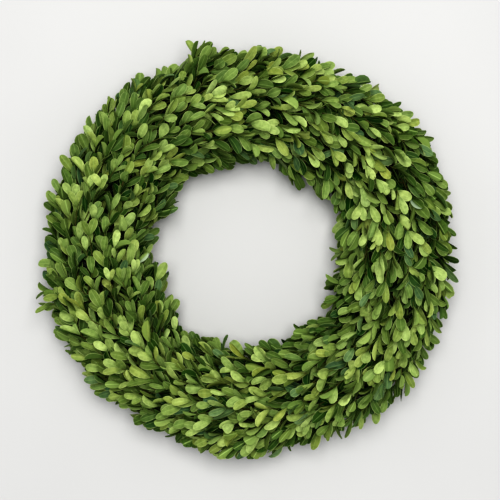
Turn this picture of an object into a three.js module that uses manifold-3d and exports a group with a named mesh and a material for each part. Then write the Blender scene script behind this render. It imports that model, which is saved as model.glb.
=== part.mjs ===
// A boxwood wreath, lying on its back with its face up.
// Bunches of leafy sprigs are laid one over the next, clockwise, and wired by their stems to a
// ring of steel wire. Millimetres, +Z up, with the origin at the ring's centre, on the surface
// that the wreath lies on. Angles round the ring run clockwise from +Y, seen from above.

import * as THREE from "three";
import { mergeVertices } from "three/addons/utils/BufferGeometryUtils.js";
import Module from "manifold-3d";

// Driving dimensions of the wreath.
const RING_RADIUS = 143; // from the centre to the middle of the foliage
const HOLE_RADIUS = 81; // no leaf reaches further in than this
const REACH_RADIUS = 205; // nor further out than this
const BUNCH_COUNT = 18;
const GAP = 0.3; // left between pieces that touch
const SURFACE_GAP = 0.6; // the lowest leaves hang this far above the surface

// The foliage of a bunch: a dense heart, and leaves that stand out of it.
const HEART_OUTER = 44; // half widths of the heart's section, outward and inward
const HEART_INNER = 40;
const HEART_HALF_HEIGHT = 34;
const HEART_MIDDLE = 31; // height of the heart's middle above the surface
const HEART_SWELL = [0.93, 1.06, 0.95]; // its size at the tail, the middle and the front
const TUNNEL_HALF_WIDTH = 9.6; // the way for the stems, open at the back
const TUNNEL_SHOULDER = 21;
const TUNNEL_ROOF = 25;

const LEAF_LENGTH = 31;
const LEAF_WIDTH = 18;
const LEAF_CROWN = 1.7; // how far the middle of a leaf stands above its rim
const LEAF_THICKNESS = 1.3;
const LEAF_ROWS = 4; // rows along a bunch
const LEAF_COLUMNS = 6; // leaves across a row, from the outer foot to the inner one
const ROOT_DEPTH = 4.5; // how deep a leaf's root sits in the heart
const LIFT = 36; // degrees between a leaf and the run of the ring

// The wire frame: two rails on the surface, a raised rail between them, and cross bars.
const RAIL_SPREAD = 20; // from the raised rail to each of the outer ones
const RAIL_WIDTH = 4;
const RAISED_RADIUS = 1.7; // the raised rail's own thickness, as a radius
const RAISED_HEIGHT = 8.6;
const BAR_RADIUS = 1.5;
const BAR_COUNT = 6;
const RAIL_SEGMENTS = [24, 30, 32]; // facets round the inner, raised and outer rail

// The wire that ties the stems to the raised rail, one turn for each bunch.
const TIE_RADIUS = 0.6;
const TIE_HALF_WIDTH = 5.8;
const TIE_HALF_HEIGHT = 5.7;
const TIE_SLACK = 0.5; // between the tie and the raised rail, where it passes under it
const TIE_STEPS = 7; // straight steps in one turn
const TIE_TOP_TURN = -0.46; // where it passes over the stems, in bunches before a bunch's start

// The stems of a bunch, cut together at the tail and fanned out to the front.
const STEM_RADIUS = 1.8;
const STEM_BED = 12.3; // height of the two lower stems, just over the raised rail

const UP = new THREE.Vector3(0, 0, 1);
const DEGREE = Math.PI / 180;
const BUNCH_ANGLE = (2 * Math.PI) / BUNCH_COUNT;
const FOOT_HEIGHT = RAIL_WIDTH + GAP;

const wasm = await Module();
wasm.setup();

// Directions and points round the ring.
const outwardAt = (angle) => new THREE.Vector3(Math.sin(angle), Math.cos(angle), 0);
const alongAt = (angle) => new THREE.Vector3(Math.cos(angle), -Math.sin(angle), 0);
const ringPoint = (angle, offset, height) =>
  outwardAt(angle)
    .multiplyScalar(RING_RADIUS + offset)
    .setZ(height);

// Evenly spread numbers from -1 to 1, the same in every run: one row of them for each use.
const spread = (index, use) => 2 * ((index * Math.sqrt([2, 3, 5, 7, 11, 13][use])) % 1) - 1;

// A closed mesh as a solid that can be joined and cut, whichever way its faces were wound.
function solidOf(geometry) {
  const bare = geometry.clone().deleteAttribute("normal").deleteAttribute("uv");
  const merged = mergeVertices(bare, 1e-4);
  const vertProperties = new Float32Array(merged.attributes.position.array);
  const make = (triVerts) =>
    new wasm.Manifold(new wasm.Mesh({ numProp: 3, vertProperties, triVerts }));
  const triangles = new Uint32Array(merged.index.array);
  const solid = make(triangles);
  return solid.volume() > 0 ? solid : make(triangles.slice().reverse());
}

function geometryOf(solid) {
  const { vertProperties, triVerts } = solid.getMesh();
  const geometry = new THREE.BufferGeometry();
  geometry.setAttribute("position", new THREE.BufferAttribute(vertProperties, 3));
  geometry.setIndex(new THREE.BufferAttribute(triVerts, 1));
  geometry.computeVertexNormals();
  return geometry;
}

const join = (solids) => solids.reduce((whole, piece) => whole.add(piece));
const largestBody = (solid) =>
  solid.decompose().reduce((best, body) => (body.volume() > best.volume() ? body : best));

// A closed solid from triangles that are given as points and their numbers.
function solidFromFaces(points, faces) {
  const geometry = new THREE.BufferGeometry().setFromPoints(points);
  geometry.setIndex(faces.flat());
  return solidOf(geometry);
}

// A solid through a row of outlines with equally many points, closed by flat ends.
function loft(outlines) {
  const size = outlines[0].length;
  const flat = THREE.ShapeUtils.triangulateShape(flattened(outlines[0]), []);
  const last = (outlines.length - 1) * size;
  const faces = flat.flatMap(([a, b, c]) => [
    [a, c, b],
    [a + last, b + last, c + last],
  ]);
  for (let ring = 0; ring < outlines.length - 1; ring++)
    for (let i = 0; i < size; i++) {
      const a = ring * size + i;
      const b = ring * size + ((i + 1) % size);
      faces.push([a, b, b + size], [a, b + size, a + size]);
    }
  return solidFromFaces(outlines.flat(), faces);
}

// An outline's points seen along the ring, as the flat shape that its end is filled by.
const flattened = (outline) =>
  outline.map((point) => new THREE.Vector2(Math.hypot(point.x, point.y), point.z));

// A round wire or stem along a path.
function tube(path, radius, sides, steps) {
  const corners = Array.from({ length: sides }, (_, i) => {
    const turn = (2 * Math.PI * i) / sides;
    return new THREE.Vector2(radius * Math.cos(turn), radius * Math.sin(turn));
  });
  return solidOf(
    new THREE.ExtrudeGeometry(new THREE.Shape(corners), {
      steps,
      extrudePath: path,
      bevelEnabled: false,
    }),
  );
}

// A path with one straight step from each point to the next.
class BentPath extends THREE.Curve {
  constructor(points) {
    super();
    this.points = points;
  }
  getPoint(share, target = new THREE.Vector3()) {
    const steps = this.points.length - 1;
    const step = Math.min(steps - 1, Math.floor(share * steps));
    return target.lerpVectors(this.points[step], this.points[step + 1], share * steps - step);
  }
  getUtoTmapping(share) {
    return share;
  }
}

const bentTube = (points, radius, sides) =>
  tube(new BentPath(points), radius, sides, points.length - 1);

// A rail that lies on the surface: an octagon turned round the ring, so that it rests on a flat
// and shows a flat to a nail that it hangs on.
function restingRail(offset, segments) {
  const half = RAIL_WIDTH / 2;
  const corner = half * Math.tan(Math.PI / 8);
  const profile = [];
  for (let i = 0; i <= 8; i++) {
    const turn = Math.PI / 8 + (i * Math.PI) / 4;
    const reach = Math.hypot(half, corner);
    profile.push(
      new THREE.Vector2(
        RING_RADIUS + offset + reach * Math.cos(turn),
        half + reach * Math.sin(turn),
      ),
    );
  }
  const start = Math.PI / segments;
  const lathe = new THREE.LatheGeometry(profile, segments, start, 2 * Math.PI);
  return solidOf(lathe.rotateX(Math.PI / 2));
}

function raisedRail() {
  const ring = new THREE.TorusGeometry(RING_RADIUS, RAISED_RADIUS, 6, RAIL_SEGMENTS[1]);
  return solidOf(ring.translate(0, 0, RAISED_HEIGHT));
}

// A bar bent up from the inner rail over the raised one and down to the outer rail. It lies
// where the tie is at the top of its turn.
function crossBar(angle) {
  const bend = [
    [RAIL_SPREAD, RAIL_WIDTH / 2],
    [RAIL_SPREAD * 0.375, RAIL_WIDTH / 2],
    [RAIL_SPREAD * 0.225, RAISED_HEIGHT - 1.1],
    [0, RAISED_HEIGHT],
  ];
  const outer = bend.map(([offset, height]) => ringPoint(angle, offset, height));
  const inner = bend.map(([offset, height]) => ringPoint(angle, -offset, height));
  return bentTube([...inner, ...outer.reverse().slice(1)], BAR_RADIUS, 4);
}

const barAngle = (index) => TIE_TOP_TURN * BUNCH_ANGLE + (index * 2 * Math.PI) / BAR_COUNT;

function wireFrame() {
  const rails = [
    restingRail(-RAIL_SPREAD, RAIL_SEGMENTS[0]),
    restingRail(RAIL_SPREAD, RAIL_SEGMENTS[2]),
    raisedRail(),
  ];
  const bars = Array.from({ length: BAR_COUNT }, (_, i) => crossBar(barAngle(i)));
  return join([...rails, ...bars]);
}

// The tie runs round the ring and turns once round the rail and the stems for each bunch. Its
// two ends stop one step short of each other.
const TIE_SPAN = 2 * Math.PI - BUNCH_ANGLE / TIE_STEPS;
class TiePath extends THREE.Curve {
  getPoint(share, target = new THREE.Vector3()) {
    const turn = Math.PI / 2 + share * TIE_SPAN * BUNCH_COUNT;
    const middle = RAISED_HEIGHT - RAISED_RADIUS - TIE_RADIUS - TIE_SLACK + TIE_HALF_HEIGHT;
    const offset = TIE_HALF_WIDTH * Math.cos(turn);
    const height = middle + TIE_HALF_HEIGHT * Math.sin(turn);
    return target.copy(ringPoint(TIE_TOP_TURN * BUNCH_ANGLE + share * TIE_SPAN, offset, height));
  }
  getUtoTmapping(share) {
    return share;
  }
}

const tieWire = () => tube(new TiePath(), TIE_RADIUS, 4, BUNCH_COUNT * TIE_STEPS - 1);

// Three stems of a bunch: where each lies in the tail, and where it goes in among the leaves.
const STEMS = [
  { bed: [-1.2, STEM_BED], head: [-13, 29] },
  { bed: [1.2, STEM_BED], head: [15, 29] },
  { bed: [0, STEM_BED + 2], head: [0, 33] },
];
const TAIL_TURN = -0.62; // where the cut ends lie, in bunches before the bunch's own start
const LEAVE_TURN = -0.3; // where the stems leave the tail
const HEAD_TURN = 0.5; // where they end, in the heart of their bunch

function stems(start, extra = 0) {
  const at = (turn, [offset, height]) => ringPoint(start + turn * BUNCH_ANGLE, offset, height);
  return join(
    STEMS.map(({ bed, head }) => {
      const points = [at(TAIL_TURN, bed), at(LEAVE_TURN, bed), at(HEAD_TURN, head)];
      return bentTube(points, STEM_RADIUS + extra, 4);
    }),
  );
}

// Points over the heart's back at an angle round the ring, from the outer foot to the inner one.
const BACK_STEPS = 7;
function heartBack(angle, size) {
  const footTurn = Math.asin((FOOT_HEIGHT - HEART_MIDDLE) / (HEART_HALF_HEIGHT * size));
  return Array.from({ length: BACK_STEPS + 1 }, (_, i) => {
    const turn = footTurn + (i / BACK_STEPS) * (Math.PI - 2 * footTurn);
    const reach = Math.cos(turn) > 0 ? HEART_OUTER : HEART_INNER;
    const height = HEART_MIDDLE + HEART_HALF_HEIGHT * size * Math.sin(turn);
    return ringPoint(angle, reach * size * Math.cos(turn), height);
  });
}

// The tunnel for the stems, from the inner foot to the outer one.
const tunnel = (angle) =>
  [
    [-TUNNEL_HALF_WIDTH, FOOT_HEIGHT],
    [-TUNNEL_HALF_WIDTH, TUNNEL_SHOULDER],
    [-TUNNEL_HALF_WIDTH / 2, TUNNEL_ROOF],
    [TUNNEL_HALF_WIDTH / 2, TUNNEL_ROOF],
    [TUNNEL_HALF_WIDTH, TUNNEL_SHOULDER],
    [TUNNEL_HALF_WIDTH, FOOT_HEIGHT],
  ].map(([offset, height]) => ringPoint(angle, offset, height));

// The heart's sections, as angles from the bunch's start.
const HEART_EDGE = GAP / RING_RADIUS;
const SECTION_ANGLE = (BUNCH_ANGLE - 2 * HEART_EDGE) / (HEART_SWELL.length - 1);
const sectionAngle = (i) => HEART_EDGE + i * SECTION_ANGLE;

const heart = (start) =>
  loft(
    HEART_SWELL.map((size, i) => {
      const angle = start + sectionAngle(i);
      return [...heartBack(angle, size), ...tunnel(angle)];
    }),
  );

// A point on the heart's back: `along` in radians from the bunch's start, and `across` from 0 at
// the outer foot to 1 at the inner one.
function groundAt(start, along, across) {
  const i = Math.min(HEART_SWELL.length - 2, Math.floor((along - HEART_EDGE) / SECTION_ANGLE));
  const side = Math.min(BACK_STEPS - 1, Math.floor(across * BACK_STEPS));
  const [tail, front] = [i, i + 1].map((section) => {
    const back = heartBack(start + sectionAngle(section), HEART_SWELL[section]);
    return back[side].lerp(back[side + 1], across * BACK_STEPS - side);
  });
  return tail.lerp(front, (along - sectionAngle(i)) / SECTION_ANGLE);
}

// Half of a boxwood leaf's rim, as shares of its length and width: a wedge-shaped base, the
// widest part beyond the middle, and a blunt tip.
const LEAF_RIM = [
  [0.6, 0.5],
  [1, 0.2],
];

// A leaf blade, arched across, with a root at `root`. It runs along `run`, and its upper face
// looks along `face`. `extra` makes it larger all round, to test that it keeps clear of others.
function blade({ root, run, face, length, width }, extra = 0) {
  const across = face.clone().cross(run);
  const at = (ahead, aside, above) =>
    root
      .clone()
      .addScaledVector(run, ahead)
      .addScaledVector(across, aside)
      .addScaledVector(face, above);
  const long = length + 2 * extra;
  const wide = width + 2 * extra;
  const side = (sign) =>
    LEAF_RIM.map(([ahead, aside]) => at(ahead * long - extra, sign * aside * wide, 0));
  const rim = [at(-extra, 0, 0), ...side(-1), ...side(1).reverse()];
  const middle = LEAF_RIM[0][0] * long - extra;
  const points = [
    ...rim,
    at(middle, 0, LEAF_CROWN + extra),
    at(middle, 0, LEAF_CROWN - LEAF_THICKNESS - extra),
  ];
  const top = rim.length;
  const faces = rim.flatMap((_, i) => {
    const next = (i + 1) % rim.length;
    return [
      [i, next, top],
      [next, i, top + 1],
    ];
  });
  return solidFromFaces(points, faces);
}

// How leaves are laid on the heart's back. Rows are staggered, and the columns stand closer on
// the outside, where the ring is longer.
const FIRST_ROW = 0.15; // shares of the way from the bunch's start to its end
const LAST_ROW = 0.87;
const FOOT_MARGIN = 0.05; // bare share of the back next to each foot
const OUTSIDE_CROWDING = 0.1;
const SCATTER = { across: 0.12, ahead: 0.18, lift: 11, splay: 14, roll: 20, size: 0.08 };

// Where a leaf of a bunch grows and how it lies. `bend` lifts, rolls and shrinks it clear of
// others.
function leafSite(bunch, row, column, bend) {
  const index = (bunch * LEAF_ROWS + row) * LEAF_COLUMNS + column;
  const stagger = row % 2 ? 0.75 : 0.25;
  const even = (column + stagger + SCATTER.across * spread(index, 0)) / LEAF_COLUMNS;
  const crowded = even - 4 * OUTSIDE_CROWDING * even * (1 - even);
  const across = FOOT_MARGIN + (1 - 2 * FOOT_MARGIN) * crowded;
  const rowShare = (row + SCATTER.ahead * spread(index, 1)) / (LEAF_ROWS - 1);
  const ahead = FIRST_ROW + (LAST_ROW - FIRST_ROW) * rowShare;
  const start = bunch * BUNCH_ANGLE;
  const angle = start + ahead * BUNCH_ANGLE;
  const ground = groundAt(start, ahead * BUNCH_ANGLE, across);

  const offset = Math.hypot(ground.x, ground.y) - RING_RADIUS;
  const reach = offset > 0 ? HEART_OUTER : HEART_INNER;
  const normal = outwardAt(angle)
    .multiplyScalar(offset / reach ** 2)
    .addScaledVector(UP, (ground.z - HEART_MIDDLE) / HEART_HALF_HEIGHT ** 2)
    .normalize();
  const along = alongAt(angle);
  const aside = normal.clone().cross(along);

  const lift = (LIFT + SCATTER.lift * spread(index, 2) + bend.lift) * DEGREE;
  const splay = SCATTER.splay * spread(index, 3) * DEGREE;
  const run = along
    .clone()
    .multiplyScalar(Math.cos(lift))
    .addScaledVector(normal, Math.sin(lift))
    .addScaledVector(aside, Math.sin(splay))
    .normalize();
  const face = normal
    .clone()
    .addScaledVector(run, -normal.dot(run))
    .normalize()
    .applyAxisAngle(run, (SCATTER.roll * spread(index, 4) + bend.roll) * DEGREE);
  const size = bend.size * (1 + SCATTER.size * spread(index, 5));
  return {
    root: ground.addScaledVector(run, -ROOT_DEPTH),
    run,
    face,
    length: LEAF_LENGTH * size,
    width: LEAF_WIDTH * size,
  };
}

// What is tried in turn for a leaf, from lying as it grows to being a smaller one.
const BENDS = [
  { lift: 0, roll: 0, size: 1 },
  { lift: 9, roll: 0, size: 1 },
  { lift: -8, roll: 0, size: 1 },
  { lift: 10, roll: 25, size: 1 },
  { lift: 10, roll: -25, size: 1 },
  { lift: 18, roll: 0, size: 1 },
  { lift: -8, roll: 0, size: 0.85 },
  { lift: 4, roll: 20, size: 0.8 },
  { lift: 4, roll: -20, size: 0.8 },
];

// A leaf stays off the surface, out of the hole and within the wreath's reach.
function insideWreath(leaf) {
  const { vertProperties } = leaf.getMesh();
  for (let i = 0; i < vertProperties.length; i += 3) {
    const radius = Math.hypot(vertProperties[i], vertProperties[i + 1]);
    if (radius < HOLE_RADIUS || radius > REACH_RADIUS) return false;
    if (vertProperties[i + 2] < SURFACE_GAP) return false;
  }
  return true;
}

const CROSSING_REACH = 1.6 * LEAF_LENGTH; // leaves whose roots are further apart can't cross

// All leaves of the wreath, bunch by bunch. Each is bent until it crosses no leaf before it and
// no other bunch's heart, and one that has no room is left out.
function growLeaves(hearts) {
  const grown = [];
  for (let bunch = 0; bunch < BUNCH_COUNT; bunch++) {
    const beside = [hearts.at(bunch - 1), hearts[(bunch + 1) % BUNCH_COUNT]];
    for (let row = 0; row < LEAF_ROWS; row++)
      for (let column = 0; column < LEAF_COLUMNS; column++)
        for (const bend of BENDS) {
          const site = leafSite(bunch, row, column, bend);
          const leaf = blade(site);
          const grownLeaf = blade(site, GAP);
          const near = grown.filter((g) => g.site.root.distanceTo(site.root) < CROSSING_REACH);
          const clear = (other) => grownLeaf.intersect(other).isEmpty();
          if (insideWreath(leaf) && beside.every(clear) && near.every((g) => clear(g.leaf))) {
            grown.push({ bunch, site, leaf });
            break;
          }
        }
  }
  return grown;
}

const material = (color, roughness, metalness = 0) =>
  new THREE.MeshStandardMaterial({ color, roughness, metalness });
const lacqueredSteel = material("#23372a", 0.45, 0.3);
const enamelledWire = material("#2f4a2c", 0.5, 0.4);
const bark = material("#6f5a3f", 0.85);
const leafGreens = ["#6f9440", "#5f8a3a", "#7c9c48", "#557f38"].map((c) => material(c, 0.55));

const wreath = new THREE.Group();
function addPiece(name, solid, look) {
  const mesh = new THREE.Mesh(geometryOf(solid), look);
  mesh.name = name;
  wreath.add(mesh);
}

addPiece("wire_frame", wireFrame(), lacqueredSteel);
addPiece("tie_wire", tieWire(), enamelledWire);
const starts = Array.from({ length: BUNCH_COUNT }, (_, i) => i * BUNCH_ANGLE);
const hearts = starts.map((start) => heart(start));
const leaves = growLeaves(hearts);
starts.forEach((start, bunch) => {
  const number = String(bunch + 1).padStart(2, "0");
  const own = leaves.filter((leaf) => leaf.bunch === bunch).map(({ leaf }) => leaf);
  const foliage = join([hearts[bunch], ...own]).subtract(stems(start, GAP));
  addPiece("leaves_" + number, largestBody(foliage), leafGreens[bunch % leafGreens.length]);
  addPiece("stems_" + number, stems(start), bark);
});

export default wreath;
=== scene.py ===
"""Boxwood wreath: the finish of a 16 inch wreath of preserved boxwood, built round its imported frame.

Bunches of leafy sprigs are laid clockwise on a welded wire ring, each over the stems of the next,
and one tie wire binds them to it. Lengths are in metres, and colours are sRGB hex values.
"""

import math
from typing import NamedTuple

import bpy
import numpy as np
from bpy.props import FloatProperty, FloatVectorProperty, IntProperty, PointerProperty
from bpy.types import Operator, Panel, PropertyGroup
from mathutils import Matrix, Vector
from mathutils.bvhtree import BVHTree


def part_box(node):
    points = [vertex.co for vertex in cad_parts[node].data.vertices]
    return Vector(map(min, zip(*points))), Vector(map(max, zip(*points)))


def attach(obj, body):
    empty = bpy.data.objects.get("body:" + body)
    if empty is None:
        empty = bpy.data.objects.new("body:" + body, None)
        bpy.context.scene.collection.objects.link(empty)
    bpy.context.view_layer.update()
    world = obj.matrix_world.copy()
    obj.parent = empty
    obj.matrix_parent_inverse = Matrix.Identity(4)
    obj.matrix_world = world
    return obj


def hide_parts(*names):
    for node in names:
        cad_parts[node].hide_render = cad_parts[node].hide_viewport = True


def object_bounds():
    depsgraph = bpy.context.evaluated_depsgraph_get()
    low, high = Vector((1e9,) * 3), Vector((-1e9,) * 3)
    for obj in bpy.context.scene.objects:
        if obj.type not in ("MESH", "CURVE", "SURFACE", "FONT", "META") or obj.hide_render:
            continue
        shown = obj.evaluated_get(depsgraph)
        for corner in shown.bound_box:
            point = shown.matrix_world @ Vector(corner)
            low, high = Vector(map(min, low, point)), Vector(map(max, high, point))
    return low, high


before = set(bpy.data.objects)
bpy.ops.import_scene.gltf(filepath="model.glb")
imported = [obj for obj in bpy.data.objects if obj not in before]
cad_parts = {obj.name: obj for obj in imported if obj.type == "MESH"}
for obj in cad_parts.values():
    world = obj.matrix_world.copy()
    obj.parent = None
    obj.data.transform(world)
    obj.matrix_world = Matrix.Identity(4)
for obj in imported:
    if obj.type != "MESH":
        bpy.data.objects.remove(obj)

bl_info = {
    "name": "Boxwood Wreath",
    "version": (1, 0, 0),
    "blender": (4, 5, 0),
    "location": "View3D > Sidebar > Wreath",
    "description": "Dresses a wire wreath frame with sprigs of preserved boxwood",
    "category": "Object",
}

MM = 0.001
TINY = 1e-9
UP = np.array([0.0, 0.0, 1.0])
CAD_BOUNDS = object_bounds()

# The ring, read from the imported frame
FOLIAGE_NODES = sorted(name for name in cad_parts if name.startswith("leaves_"))
STEM_NODES = sorted(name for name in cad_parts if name.startswith("stems_"))
BUNCH_COUNT = len(FOLIAGE_NODES)
BUNCH_ANGLE = 2 * math.pi / BUNCH_COUNT
_, FRAME_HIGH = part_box("wire_frame")
TIE_LOW, TIE_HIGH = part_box("tie_wire")
CROWN_HEIGHT = max(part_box(name)[1].z for name in FOLIAGE_NODES)
TIE_RADIUS = 0.6 * MM
TIE_REACH = 5.8 * MM
RING_RADIUS = TIE_HIGH.x - TIE_REACH - TIE_RADIUS
RAIL_RADIUS = 2.0 * MM
OUTER_RAIL = FRAME_HIGH.x - RAIL_RADIUS
INNER_RAIL = 2 * RING_RADIUS - OUTER_RAIL
RAISED_RAIL_RADIUS = 1.7 * MM
RAISED_RAIL_HEIGHT = FRAME_HIGH.z - RAISED_RAIL_RADIUS
BAR_RADIUS = 1.5 * MM
BAR_COUNT = 6

# How a bunch lies on the ring, in shares of the angle from one bunch to the next
TAIL_TURN = -0.62
HEAD_TURN = 0.9
TIE_TURN = -0.46

# Where foliage that is tied by hand is fuller or thinner: the angle from the top in degrees, how much
# further it reaches in mm, and half the width of the swell in degrees
OUTER_SWELLS = (
    (55, 5, 22), (133, 5, 16), (162, -5, 16), (208, -7, 34), (268, -4, 14), (298, -2, 22), (335, -5, 10),
    (346, 6, 7), (356, -5, 8), (12, -3, 24),
)
INNER_SWELLS = (
    (27, 7, 13), (62, -6, 20), (98, 3, 15), (127, -10, 11), (157, -8, 13), (190, -5, 12), (215, -8, 20),
    (250, 5, 10), (272, -6, 14), (295, 6, 9), (315, -5, 18), (349, 5, 14),
)

# Random draws
SPRIG_SEED = 1607
LEAF_SEED = 4211
STEM_SEED = 915


def linear(code):
    """An sRGB hex colour as linear red, green, blue and alpha."""
    parts = [int(code[place:place + 2], 16) / 255 for place in (1, 3, 5)]
    return tuple(p / 12.92 if p <= 0.04045 else ((p + 0.055) / 1.055) ** 2.4 for p in parts) + (1.0,)


def length_setting(name, description, default):
    """A size in metres that the panel shows as a length."""
    return FloatProperty(
        name=name, description=description, default=default, min=0.0, subtype="DISTANCE",
        unit="LENGTH", precision=4,
    )


def angle_setting(name, description, degrees):
    """An angle that the panel shows in degrees."""
    return FloatProperty(
        name=name, description=description, default=math.radians(degrees), subtype="ANGLE",
        unit="ROTATION",
    )


def colour_setting(name, description, code):
    """A colour with its sRGB hex value as the default."""
    return FloatVectorProperty(
        name=name, description=description, default=linear(code), size=4, min=0.0, max=1.0,
        subtype="COLOR",
    )


class WreathSizes(PropertyGroup):
    """The sizes that shape the foliage."""

    outer_reach: length_setting(
        "Outer Reach", "How far the foliage stands out from the ring's middle", 57.8 * MM)
    inner_reach: length_setting(
        "Inner Reach", "How far the foliage stands in from the ring's middle", 53.3 * MM)
    middle_height: length_setting(
        "Middle Height", "Height of the middle of the foliage's section", 36 * MM)
    leaf_length: length_setting("Leaf Length", "Length of a grown leaf", 19.2 * MM)
    leaf_width: length_setting("Leaf Width", "Width of a grown leaf", 8.9 * MM)
    leaf_thickness: length_setting("Leaf Thickness", "Thickness of a leaf at its midrib", 0.5 * MM)
    sprig_spacing: length_setting("Sprig Spacing", "Distance between sprigs along the ring", 16.8 * MM)
    sprig_rows: IntProperty(
        name="Sprig Rows", description="Rows of sprigs from the outer foot over to the inner one",
        default=14, min=3)
    heart_spacing: length_setting(
        "Heart Spacing", "Distance along the ring between the short sprigs under the outer ones", 23 * MM)
    heart_rows: IntProperty(
        name="Heart Rows", description="Rows of the short sprigs under the outer ones",
        default=8, min=3)
    leaf_pairs: IntProperty(
        name="Leaf Pairs", description="Pairs of leaves on a sprig", default=5, min=2)
    pair_gap: length_setting("Pair Gap", "Distance between two pairs of leaves", 6.3 * MM)
    tip_lift: angle_setting("Tip Lift", "How steeply a sprig's tip leaves the ring", 38)
    twig_radius: length_setting("Twig Radius", "Radius of a sprig's twig at its root", 0.8 * MM)
    stem_radius: length_setting("Stem Radius", "Radius of a bunch's stem at its cut end", 1.5 * MM)
    stems: IntProperty(
        name="Stems", description="Woody stems in a bunch", default=8, min=1)


class WreathColours(PropertyGroup):
    """The colours of the foliage, the wood and the wire."""

    # The deep leaf colour is both the old leaves' own dark green and the colour of painted shade in the
    # foliage
    deep_leaf: colour_setting("Deep Leaf", "Old leaves in the shade", "#294A1A")
    grown_leaf: colour_setting("Grown Leaf", "Most leaves", "#869B5C")
    bright_leaf: colour_setting("Bright Leaf", "Leaves of this year's growth", "#BBCD87")
    olive_leaf: colour_setting("Olive Leaf", "Leaves that the preserving turned yellow", "#9CA356")
    blue_leaf: colour_setting("Blue Leaf", "Leaves with a bluish bloom", "#5C775A")
    midrib: colour_setting("Midrib", "The midrib of a leaf", "#BCD68A")
    # The margin colour is a painted highlight on the thin edge of a leaf
    margin: colour_setting("Margin", "The thin pale edge of a leaf", "#CFDD9C")
    leaf_back: colour_setting("Leaf Back", "The pale underside of a leaf", "#648042")
    young_twig: colour_setting("Young Twig", "The green twig near a sprig's tip", "#6F7442")
    bark: colour_setting("Bark", "The bark of an old stem", "#382B1D")
    lacquer: colour_setting("Lacquer", "The lacquer on the ring frame", "#23372A")
    enamel: colour_setting("Enamel", "The enamel on the tie wire", "#2F4A2C")
    board: colour_setting("Board", "The painted board under the wreath", "#CCCCCB")


class Sprig(NamedTuple):
    """One sprig: where its tip is, how it leans, and how its leaves look."""

    angle: float
    turn: float
    sink: float
    lift: float
    splay: float
    roll: float
    size: float
    tone: float
    olive: float
    blue: float
    combing: float


class Leaves(NamedTuple):
    """Many leaves: where each starts, the ways it points and faces, its sizes, its bends and its tint."""

    base: np.ndarray
    axis: np.ndarray
    face: np.ndarray
    length: np.ndarray
    width: np.ndarray
    taper: np.ndarray
    arch: np.ndarray
    fold: np.ndarray
    curl: np.ndarray
    twist: np.ndarray
    tint: np.ndarray


# The ring's own directions

def unit(vectors):
    """The vectors at length one."""
    return vectors / np.maximum(np.linalg.norm(vectors, axis=-1, keepdims=True), TINY)


def outward(angle):
    """The way out from the wreath's middle, at an angle clockwise from the top."""
    angle = np.asarray(angle, float)
    return np.stack([np.sin(angle), np.cos(angle), np.zeros_like(angle)], -1)


def clockwise(angle):
    """The way along the ring, clockwise seen from the front."""
    angle = np.asarray(angle, float)
    return np.stack([np.cos(angle), -np.sin(angle), np.zeros_like(angle)], -1)


def ring_point(angle, offset, height):
    """A point at an angle, an offset out from the ring's middle radius, and a height."""
    height = np.asarray(height, float)
    return outward(angle) * (RING_RADIUS + np.asarray(offset, float))[..., None] + UP * height[..., None]


def swell(angle, swells):
    """How much fuller the foliage is at an angle."""
    gain = 0 * np.asarray(angle, float)
    for middle, length, half in swells:
        away = np.abs((np.degrees(angle) - middle + 180) % 360 - 180)
        gain = gain + length * MM * (0.5 + 0.5 * np.cos(math.pi * np.minimum(away / half, 1)))
    return gain


def section_reach(sizes, angle, turn):
    """How far out and how far up the foliage reaches at an angle, and at a turn round its section."""
    outer = sizes.outer_reach + swell(angle, OUTER_SWELLS)
    inner = sizes.inner_reach + swell(angle, INNER_SWELLS)
    wide = np.where(np.cos(turn) > 0, outer, inner)
    return wide, CROWN_HEIGHT - sizes.middle_height + 0 * wide


def foliage_point(sizes, angle, turn, sink):
    """A point of the foliage at a depth under its face."""
    wide, high = section_reach(sizes, angle, turn)
    return ring_point(
        angle, (wide - sink) * np.cos(turn), sizes.middle_height + (high - sink) * np.sin(turn)
    )


def foliage_normal(sizes, angle, turn):
    """The way out of the foliage's face."""
    wide, high = section_reach(sizes, angle, turn)
    side = (np.cos(turn) / wide)[..., None] * outward(angle)
    return unit(side + (np.sin(turn) / high)[..., None] * UP)


# Meshes

# How steep a rod's start may be before its sides are measured from another way than up
STEEP = 0.9


def new_piece(name, corners, faces, materials, places=None, skins=None):
    """A smooth mesh object. Its corners may have places on a pattern, and its faces their own skins."""
    mesh = bpy.data.meshes.new(name)
    mesh.from_pydata(np.asarray(corners).tolist(), [], faces)
    for material in materials:
        mesh.materials.append(material)
    mesh.polygons.foreach_set("use_smooth", np.ones(len(mesh.polygons), bool))
    if skins is not None:
        mesh.polygons.foreach_set("material_index", np.asarray(skins, np.int32))
    if places is not None:
        owner = np.empty(len(mesh.loops), np.int32)
        mesh.loops.foreach_get("vertex_index", owner)
        layer = mesh.uv_layers.new(name="pattern")
        layer.uv.foreach_set("vector", np.asarray(places, np.float32)[owner].ravel())
    mesh.update()
    piece = bpy.data.objects.new(name, mesh)
    bpy.context.scene.collection.objects.link(piece)
    return piece


def sharpen_between_skins(mesh):
    """Makes the edges sharp where the upper side of a leaf meets its back."""
    corner_edge = np.empty(len(mesh.loops), np.int32)
    mesh.loops.foreach_get("edge_index", corner_edge)
    skin = np.empty(len(mesh.polygons), np.int32)
    mesh.polygons.foreach_get("material_index", skin)
    corners = np.empty(len(mesh.polygons), np.int32)
    mesh.polygons.foreach_get("loop_total", corners)
    corner_skin = np.repeat(skin, corners)
    lowest = np.full(len(mesh.edges), len(mesh.materials), np.int32)
    highest = np.zeros(len(mesh.edges), np.int32)
    np.minimum.at(lowest, corner_edge, corner_skin)
    np.maximum.at(highest, corner_edge, corner_skin)
    sharp = mesh.attributes.new("sharp_edge", "BOOLEAN", "EDGE")
    sharp.data.foreach_set("value", lowest != highest)


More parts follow.
